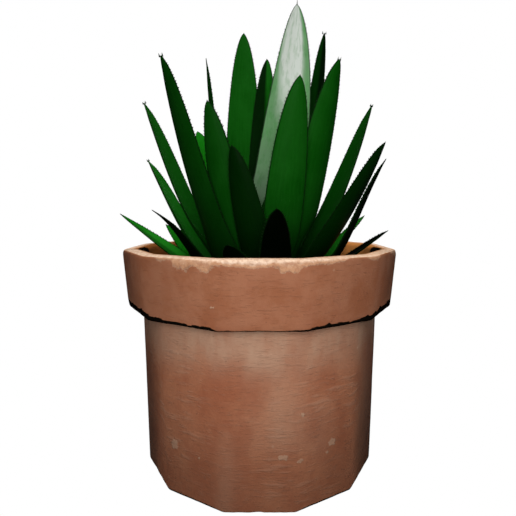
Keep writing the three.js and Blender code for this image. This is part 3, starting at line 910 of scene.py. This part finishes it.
def make_crown(material):
    """The crown's outline turned, with low ridges where leaves have been: the surface moves by a
    random field flattened along the stem."""
    points, poles = turned_grid(CROWN_PROFILE, CROWN_COLUMNS)
    shown = smooth(points[..., 2], 94.0, 97.0)
    ridges = layered(points * (1.0, 1.0, 2.2), 6.0, 41, 3)
    points[..., 2] += shown * SCAR_HEIGHT * ridges
    points[..., :2] *= 1.0 + (shown * SCAR_SPREAD * field(points, 4.0, 44))[..., None]
    faces = turned_faces(points.shape[0], CROWN_COLUMNS)
    crown = build("stem_crown", np.concatenate([points.reshape(-1, 3), poles]), faces, material)
    finish_piece(crown, "crown")


# ---- leaves -------------------------------------------------------------------------------

Leaf = namedtuple("Leaf", "name ring turn face tip width sweep sag tone split taper fork spine wax",
                  defaults=(0.0, 3.2, 0.0, 0.7, 0.0))

# ring: the ring of the crown that carries the leaf, 1 outermost. turn: azimuth of its foot. face:
# azimuth that its back looks to. tip: where the point ends. width: the widest part. sweep, sag:
# how far the lower and upper thirds bow outward. tone and painted light: its depth of colour with
# painted light and shade, near black on leaves painted as in shadow. shaded half: how much darker
# one half is as painted shade, the half on the positive side where it is above 0. taper: high keeps
# a leaf broad near its tip. fork: it ends in two points, this far each side of its middle. spine:
# the length of its end spine. wax and sheen: the strength of its pale film, which paints a highlight.
LEAVES = [
    Leaf("leaf_low_01", 1, 189, 183, (-75.3, -24, 143.3), 20, -2, 0.4, 1.9, split=0.5, taper=0.9),
    Leaf("leaf_low_02", 1, 210, 212, (-55.7, -34, 145.3), 24, 1, -6.2, 0.02, taper=0.8),
    Leaf("leaf_low_03", 1, 163, 150, (-59.3, 15, 136.6), 11.5, 5.5, 0.5, 2.4),
    Leaf("leaf_low_04", 1, 137, 130, (-48, 50, 146), 16, 4, 1, 0.7),
    Leaf("leaf_low_05", 1, 108, 108, (-20, 70, 150), 17, 4, 1, 0.5),
    Leaf("leaf_low_06", 1, 80, 80, (15, 72, 148), 17, 4, 1, 0.6),
    Leaf("leaf_low_07", 1, 52, 50, (46, 56, 144), 16, 4, 1, 0.8),
    Leaf("leaf_low_08", 1, 27, 30, (68, 22, 142), 9, 2, 0, 1.5),
    Leaf("leaf_low_09", 1, 3, 350, (71.6, -18, 134), 9, 2, 0, 0.01),
    Leaf("leaf_low_10", 1, 339, 322, (64, -36, 171), 8, 14, 0, 0.02),
    Leaf("leaf_low_11", 1, 290, 280, (7.6, -62, 146), 18, 3, 0, 0.01),
    Leaf("leaf_low_12", 1, 257, 246, (-14.5, -55, 129), 20, 2, 0, 0.02),
    Leaf("leaf_mid_01", 2, 168, 166, (-74.8, 34, 179.4), 24.5, 12, 1, 1.35, taper=3.6, fork=0.45),
    Leaf("leaf_mid_02", 3, 192, 165, (-72.3, 19, 213), 25.5, 13.5, 3, 0.85, fork=0.75),
    Leaf("leaf_mid_03", 2, 229, 214, (-51.4, -25, 226.2), 25.5, 6, 3, 0.36, fork=0.75),
    Leaf("leaf_mid_04", 2, 279, 248, (-13.7, -42, 177), 18.5, 3, 0, 0.13),
    Leaf("leaf_mid_05", 2, 340, 330, (68, -20, 182), 27, 7, 4, 0.16),
    Leaf("leaf_mid_06", 2, 12, 15, (69.2, 15, 210.5), 28.6, 8, 4, 0.5, taper=2.2, fork=0.55),
    Leaf("leaf_mid_07", 2, 38, 50, (33, 57, 192), 19, 5, 1, 0.6),
    Leaf("leaf_mid_08", 2, 80, 75, (6, 68, 188), 22, 5, 1, 0.7),
    Leaf("leaf_mid_09", 2, 112, 125, (-42, 42, 198.6), 19, 4, 1, 2.8, taper=5.0, spine=0.3),
    Leaf("leaf_mid_10", 2, 140, 176, (-32, 12, 236), 17, 6, 1, 0.6),
    Leaf("leaf_high_01", 3, 238, 248, (-26.3, -35, 200), 20, 3, 1, 0.48),
    Leaf("leaf_high_02", 3, 303, 282, (19.6, -42, 210), 22.5, 3, 0, 0.7),
    Leaf("leaf_high_03", 3, 356, 305, (41.5, -26, 224), 24, 5, 0, 0.67, fork=0.6),
    Leaf("leaf_high_04", 3, 34, 38, (42.5, 38, 262), 18, 12, 6, 0.25, split=-0.7, fork=1.0),
    Leaf("leaf_high_05", 3, 134, 104, (-11, 61, 269.6), 25, 2, 0, 0.85),
    Leaf("leaf_high_06", 5, 0, 92, (24.3, 35, 281), 32, 2, 9.5, 2.4, taper=2.8, spine=4.5, wax=1.0),
    Leaf("leaf_core_01", 4, 80, 65, (5, 47, 247.5), 22, 2, 0, 1.05, split=0.88),
    Leaf("leaf_core_02", 4, 206, 215, (-13, -12, 165), 15, 2, 0, 0.6),
    Leaf("leaf_core_03", 4, 320, 320, (14, -16, 183), 15, 2, 0, 0.6),
    Leaf("leaf_core_04", 5, 205, 250, (8, -7, 160), 11, 1, 0, 0.6),
    Leaf("leaf_core_05", 4, 142, 150, (-20, 19, 187), 15, 5, 0, 0.7),
]

LEAF_ROWS = 130
LEAF_COLUMNS = 36
TIP_CROWDING = 1.35              # above 1 the sections stand closer together towards the tip
ROOT_LENGTH = 5.0                # length of a leaf inside the crown
FOOT_SHARE = 0.9                 # a leaf's width at its foot, as a share of its widest part
SPREAD_SPAN = 0.22               # share of the length over which the foot turns into the blade
TWIST_SPAN = 0.35                # share of the length over which a leaf turns to its facing
CHANNEL = 0.22                   # depth of the channel as a share of the half width
FOOT_THICKNESS = 3.4
TIP_THICKNESS = 1.3
FRONT_FULLNESS = 0.5             # the front bulges this much of what the back does
LENS = 1.3                       # 1 gives an oval section, more a lens with sharper margins
TIP_ROUNDNESS = 0.62             # the pointed-arch outline is (1 - t^taper)^TIP_ROUNDNESS
SPINE_RADIUS = 0.32
HORN_EDGE = (-0.004, 0.008)      # horn sets in over these shares of the length round the spine's foot
TEETH_FROM = 0.10                # teeth stand between these shares of the length
TEETH_TO = 0.975
TOOTH_SPACING = 1.7
TOOTH_HEIGHT = 0.6
TOOTH_LEAN = 0.65                # how far a tooth's point stands nearer to the tip than its foot
TOOTH_BASE = 0.6                 # half the length of a tooth's foot along the margin
TOOTH_THICKNESS = 0.6            # the foot's thickness as a share of that
TOOTH_SUNK = 0.4                 # how deep a tooth's foot lies in the margin
TOOTH_FOOT_HORN = 0.4
FORK_NOTCH = 1.0                 # how much earlier a forked blade ends
FORK_ROOT = 0.7                  # how far inside the blade its two points start
FORK_LENGTH = 2.0
FORK_BASE = 0.55                 # half the thickness of a forked end's points
FORK_OUTWARD = 0.15              # how far the points lean apart
FORK_RADIUS = 0.03               # half the width left between them
FORK_FROM = 0.98                 # thorns above this share are a forked end's points, with no horn
SHADED_HALF_EDGE = (-0.12, 0.12)        # where a leaf's half painted darker as shade starts across it
SHEEN_FROM = 0.40                  # a leaf's pale film, which paints a highlight, starts here along it, and is whole at the next share
SHEEN_FULL = 0.72
SHEEN_LEFT = (1.0, 0.25, 0.84)     # the film's left edge: none here, whole here low down and high up
SHEEN_RIGHT = (-0.76, -0.50)       # its right edge: none here, whole here
SHEEN_LEAST = 0.19
SHEEN_MOST = 0.9
MID_POLE_MARGIN = 5.0            # what stands for the distance from the margin at the foot's pole
X_AXIS = np.array([1.0, 0.0, 0.0])


def unit(vectors):
    return vectors / np.linalg.norm(vectors, axis=-1, keepdims=True)


def heading_of(azimuth):
    angle = np.radians(azimuth)
    return np.stack([np.cos(angle), np.sin(angle), np.zeros_like(angle)], axis=-1)


class Blade:
    """A leaf's middle line and the frame that its sections stand in.

    The middle line is a cubic curve from the foot, on the crown's cone, to the tip. Its two
    middle controls lie a third and two thirds along the straight line between them, moved by
    sweep and sag to the outside. The back's direction turns from the foot's azimuth to the leaf's
    facing over the first part of the length, and is kept square to the line.
    """

    def __init__(self, leaf):
        radius = RING_RADIUS[leaf.ring - 1]
        foot = heading_of(float(leaf.turn)) * radius
        foot[2] = CONE_APEX - CONE_SLOPE * radius
        tip = np.array(leaf.tip, dtype=float)
        chord = tip - foot
        level = np.array([chord[0], chord[1], 0.0])
        outward = unit(level - unit(chord) * np.dot(level, unit(chord)))
        self.leaf = leaf
        self.point_length = leaf.spine + (FORK_NOTCH if leaf.fork else 0.0)
        self.controls = np.array([foot, foot + chord / 3.0 + outward * leaf.sweep,
                                  foot + chord * 2.0 / 3.0 + outward * leaf.sag, tip])
        fine = self.line(np.linspace(0.0, 1.0, 200))
        self.length = float(np.sum(np.linalg.norm(np.diff(fine, axis=0), axis=1)))

    def line(self, t):
        t = t[:, None]
        weights = ((1 - t) ** 3, 3 * t * (1 - t) ** 2, 3 * t ** 2 * (1 - t), t ** 3)
        return sum(weight * control for weight, control in zip(weights, self.controls))

    def tangent(self, t):
        t = t[:, None]
        steps = np.diff(self.controls, axis=0)
        return unit((1 - t) ** 2 * steps[0] + 2 * t * (1 - t) * steps[1] + t ** 2 * steps[2])

    def frame(self, share):
        """Centre, tangent, back and side direction at each share of the length. A share below 0
        goes straight on into the crown."""
        t = np.clip(share, 0.0, 1.0)
        tangent = self.tangent(t)
        centre = self.line(t) + tangent * (np.minimum(share, 0.0) * self.length)[:, None]
        turn = azimuth_gap(self.leaf.face, self.leaf.turn) * smooth(t, 0.0, TWIST_SPAN)
        back = heading_of(self.leaf.turn + turn)
        back = unit(back - tangent * np.sum(back * tangent, axis=1)[:, None])
        return centre, tangent, back, np.cross(tangent, back)

    def half_width(self, share):
        """Half the blade's width: the foot's share grows to 1 over SPREAD_SPAN, times the
        pointed-arch outline, and over the last stretch a thin spine."""
        t = np.clip(share, 0.0, 1.0)
        blade = 1.0 - self.point_length / self.length
        outline = (1.0 - np.clip(t / blade, 0.0, 1.0) ** self.leaf.taper) ** TIP_ROUNDNESS
        width = self.leaf.width * mix(FOOT_SHARE, 1.0, smooth(t, 0.0, SPREAD_SPAN))
        spine = FORK_RADIUS if self.leaf.fork else SPINE_RADIUS
        spine = spine * np.clip((1.0 - t) / (1.0 - blade), 0.0, 1.0)
        return np.maximum(width * outline / 2.0, spine), outline

    def surface(self, share, across, bulge):
        """Points at a share of the length and a place across it from -1 to 1, raised by bulge
        times the local thickness and bent up to the inside by the channel."""
        centre, _, back, side = self.frame(share)
        half, outline = self.half_width(share)
        t = np.clip(share, 0.0, 1.0)
        thick = mix(FOOT_THICKNESS, TIP_THICKNESS, t) * np.minimum(outline * 2.0, 1.0)
        thick = np.maximum(thick, np.minimum(half * 2.0, SPINE_RADIUS * 2.0))
        flat = np.minimum(outline * 3.0, 1.0)
        channel = CHANNEL * half * flat
        depth = bulge[None, :] * thick[:, None] / 2.0 - channel[:, None] * across[None, :] ** 2
        sideways = across[None, :] * half[:, None]
        return centre[:, None] + side[:, None] * sideways[..., None] + back[:, None] * depth[..., None]


def thorn(foot, point, forward, sideways):
    """The five corners of four-sided thorns: four about the middle of the foot, at plus and minus
    forward and sideways, and the point."""
    return np.stack([foot - forward, foot + sideways, foot + forward, foot - sideways, point], axis=1)


def margin_teeth(blade, edge, rng):
    """Teeth along one margin, evenly spaced and then moved by up to a quarter of the spacing. The
    foot is sunk in the margin, the point leans towards the tip, and both ends have smaller teeth."""
    count = int(blade.length * (TEETH_TO - TEETH_FROM) / TOOTH_SPACING)
    share = np.linspace(TEETH_FROM, TEETH_TO, count) + rng.uniform(-0.25, 0.25, count) / count
    centre, tangent, back, side = blade.frame(share)
    half, outline = blade.half_width(share)
    half = half[:, None]
    flat = np.minimum(outline * 3.0, 1.0)[:, None]
    margin = centre + side * half * edge - back * CHANNEL * half * flat
    size = rng.uniform(0.75, 1.15, count) * smooth(share, TEETH_FROM - 0.05, 0.3)
    size = (size * np.clip(outline * 2.2, 0.35, 1.0))[:, None]
    out = unit(side * edge - back * 2.0 * CHANNEL * flat)
    foot = margin - out * TOOTH_SUNK * np.minimum(size, 1.0)
    point = margin + out * TOOTH_HEIGHT * size + tangent * TOOTH_LEAN * size
    reach = TOOTH_BASE * size
    return thorn(foot, point, tangent * reach, back * reach * TOOTH_THICKNESS), share


def fork_point(blade, edge, rng):
    """One of a forked end's two points, to one side of the middle line as seen along Y."""
    share = np.array([1.0 - (blade.point_length + FORK_ROOT) / blade.length])
    centre, tangent, back, side = blade.frame(share)
    apart = unit(X_AXIS - tangent * np.sum(tangent * X_AXIS)) * edge
    foot = centre + apart * blade.leaf.fork
    point = foot + tangent * FORK_LENGTH * rng.uniform(0.85, 1.1) + apart * FORK_OUTWARD
    return thorn(foot, point, side * -FORK_BASE * edge, back * FORK_BASE), share


def teeth(blade, rng):
    """The thorns of both margins and of a forked end. Returns their points, triangles and quads,
    and the share along and the edge of each point."""
    points = []
    shares = []
    sides = []
    for edge in (-1.0, 1.0):
        kinds = [margin_teeth, fork_point] if blade.leaf.fork else [margin_teeth]
        for kind in kinds:
            corners, share = kind(blade, edge, rng)
            points.append(corners)
            shares.append(np.repeat(share, 5))
            sides.append(np.full(len(share) * 5, edge))
    points = np.concatenate(points).reshape(-1, 3)
    start = (np.arange(len(points) // 5) * 5)[:, None, None]
    triangles = (start + np.array([[0, 1, 4], [1, 2, 4], [2, 3, 4], [3, 0, 4]])).reshape(-1, 3)
    quads = (start + np.array([[3, 2, 1, 0]])).reshape(-1, 4)
    for faces in (triangles, quads):
        other_edge = faces[:, 0] >= len(points) // 2
        faces[other_edge] = faces[other_edge][:, ::-1]
    return points, triangles, quads, np.concatenate(shares), np.concatenate(sides)


def sheen_film_mask(along, sideways):
    """The strength of the pale film that paints a highlight: it sets in along the leaf and has an uneven
    edge on either side.
    """
    whole = mix(SHEEN_LEFT[1], SHEEN_LEFT[2], smooth(along, SHEEN_FULL - 0.1, SHEEN_FULL + 0.12))
    sheen_film = smooth(along, SHEEN_FROM, SHEEN_FULL) * smooth(sideways, SHEEN_LEFT[0], whole)
    return np.maximum(SHEEN_MOST * sheen_film * smooth(sideways, *SHEEN_RIGHT), SHEEN_LEAST)


def make_leaf(leaf, order, material):
    """The blade as a closed tube of lens-shaped sections, ending in its spine, with the margins'
    teeth. A section's across is -cos and its bulge |sin|^LENS of one turn round it."""
    blade = Blade(leaf)
    rng = np.random.default_rng(100 + order)
    share = 1.0 - (1.0 - np.linspace(0.0, 1.0, LEAF_ROWS)) ** TIP_CROWDING
    share = np.concatenate([[-ROOT_LENGTH / blade.length], share[:-1]])
    angle = np.arange(LEAF_COLUMNS) * math.tau / LEAF_COLUMNS
    across = -np.cos(angle)
    swell = np.abs(np.sin(angle)) ** LENS
    bulge = np.where(np.sin(angle) > 0.0, swell, -swell * FRONT_FULLNESS)
    points = blade.surface(share, across, bulge)
    rows = len(share)
    poles = np.array([points[0].mean(axis=0), leaf.tip])
    thorns, triangles, quads, thorn_share, thorn_side = teeth(blade, rng)
    pole = rows * LEAF_COLUMNS
    faces = turned_faces(rows, LEAF_COLUMNS) + [triangles + pole + 2, quads + pole + 2]
    faces[0] = np.roll(faces[0], 1, axis=1)      # cuts the twisted quads along their other diagonal

    along = np.concatenate([np.repeat(np.clip(share, 0.0, 1.0), LEAF_COLUMNS), [0.0, 1.0], thorn_share])
    sideways = np.concatenate([np.tile(across, rows), [0.0, 0.0], thorn_side])
    spine = 1.0 - leaf.spine / blade.length
    spine_horn = smooth(share, spine + HORN_EDGE[0], spine + HORN_EDGE[1])
    thorn_horn = np.tile([TOOTH_FOOT_HORN] * 4 + [1.0], len(thorns) // 5) * (thorn_share < FORK_FROM)
    half, _ = blade.half_width(share)
    margin = np.ravel(half[:, None] * (1.0 - np.abs(across)))
    # One half of a leaf painted darker as shade
    shaded_side = smooth(np.sign(leaf.split) * sideways, *SHADED_HALF_EDGE)
    attributes = {"along": along, "across": sideways,
                  "horn": np.concatenate([np.repeat(spine_horn, LEAF_COLUMNS), [0.0, 1.0], thorn_horn]),
                  "margin": np.concatenate([margin, [MID_POLE_MARGIN, 0.0], np.zeros(len(thorns))]),
                  # The leaf's depth of colour, with its painted light and shade
                  "tone": leaf.tone * (1.0 - abs(leaf.split) * shaded_side),
                  # The pale film that paints a highlight
                  "wax": leaf.wax * sheen_film_mask(along, sideways)}
    everything = np.concatenate([points.reshape(-1, 3), poles, thorns])
    piece = build(leaf.name.replace("leaf", "blade"), everything, faces, material, attributes)
    finish_piece(piece, leaf.name)


# ---- stage --------------------------------------------------------------------------------

def make_world():
    """White to look at, and a weak even light for everything else."""
    world = bpy.data.worlds.new("studio")
    world.use_nodes = True
    tree = Tree(world.node_tree)
    seen = tree.add("ShaderNodeBackground", {"Color": WHITE, "Strength": 1.0})
    light = tree.add("ShaderNodeBackground", {"Color": WHITE, "Strength": AMBIENT})
    path = tree.add("ShaderNodeLightPath")
    chosen = tree.add("ShaderNodeMixShader", {0: path.outputs["Is Camera Ray"], 1: light.outputs[0],
                                              2: seen.outputs[0]})
    tree.add("ShaderNodeOutputWorld", {"Surface": chosen.outputs[0]})
    bpy.context.scene.world = world


def make_floor():
    """A round floor: plain white to look at, and a dull grey for the light that reaches it."""
    material, tree, shader = new_material("studio_floor")
    seen = tree.add("ShaderNodeLightPath").outputs["Is Camera Ray"]
    albedo = tree.times(tree.less(1.0, seen), FLOOR_ALBEDO)
    colour = tree.add("ShaderNodeCombineColor", {"Red": albedo, "Green": albedo, "Blue": albedo})
    tree.put(shader.inputs["Base Color"], colour.outputs[0])
    shader.inputs["Roughness"].default_value = 0.9
    shader.inputs["Specular IOR Level"].default_value = 0.0
    shader.inputs["Emission Color"].default_value = WHITE
    tree.put(shader.inputs["Emission Strength"], seen)
    around = np.arange(FLOOR_CORNERS) * math.tau / FLOOR_CORNERS
    ring = np.stack([np.cos(around), np.sin(around), np.zeros(FLOOR_CORNERS)], axis=-1)
    ring = ring * FLOOR_RADIUS / MM
    points = np.concatenate([ring, [[0.0, 0.0, 0.0]]])
    floor = build("floor", points, [fan_faces(FLOOR_CORNERS, np.arange(FLOOR_CORNERS))], material)


# ---- everything ---------------------------------------------------------------------------

bpy.context.scene.view_settings.view_transform = "Standard"
place_camera()
for soft_box in SOFT_BOXES:
    place_light(*soft_box)
make_world()
make_floor()
make_grain_group()
make_speck_group()
make_tone_group()
make_pot(make_terracotta())
make_soil(make_soil_material())
make_crown(make_crown_material())
leaf_material = make_leaf_material()
for order, leaf in enumerate(LEAVES):
    make_leaf(leaf, order, leaf_material)
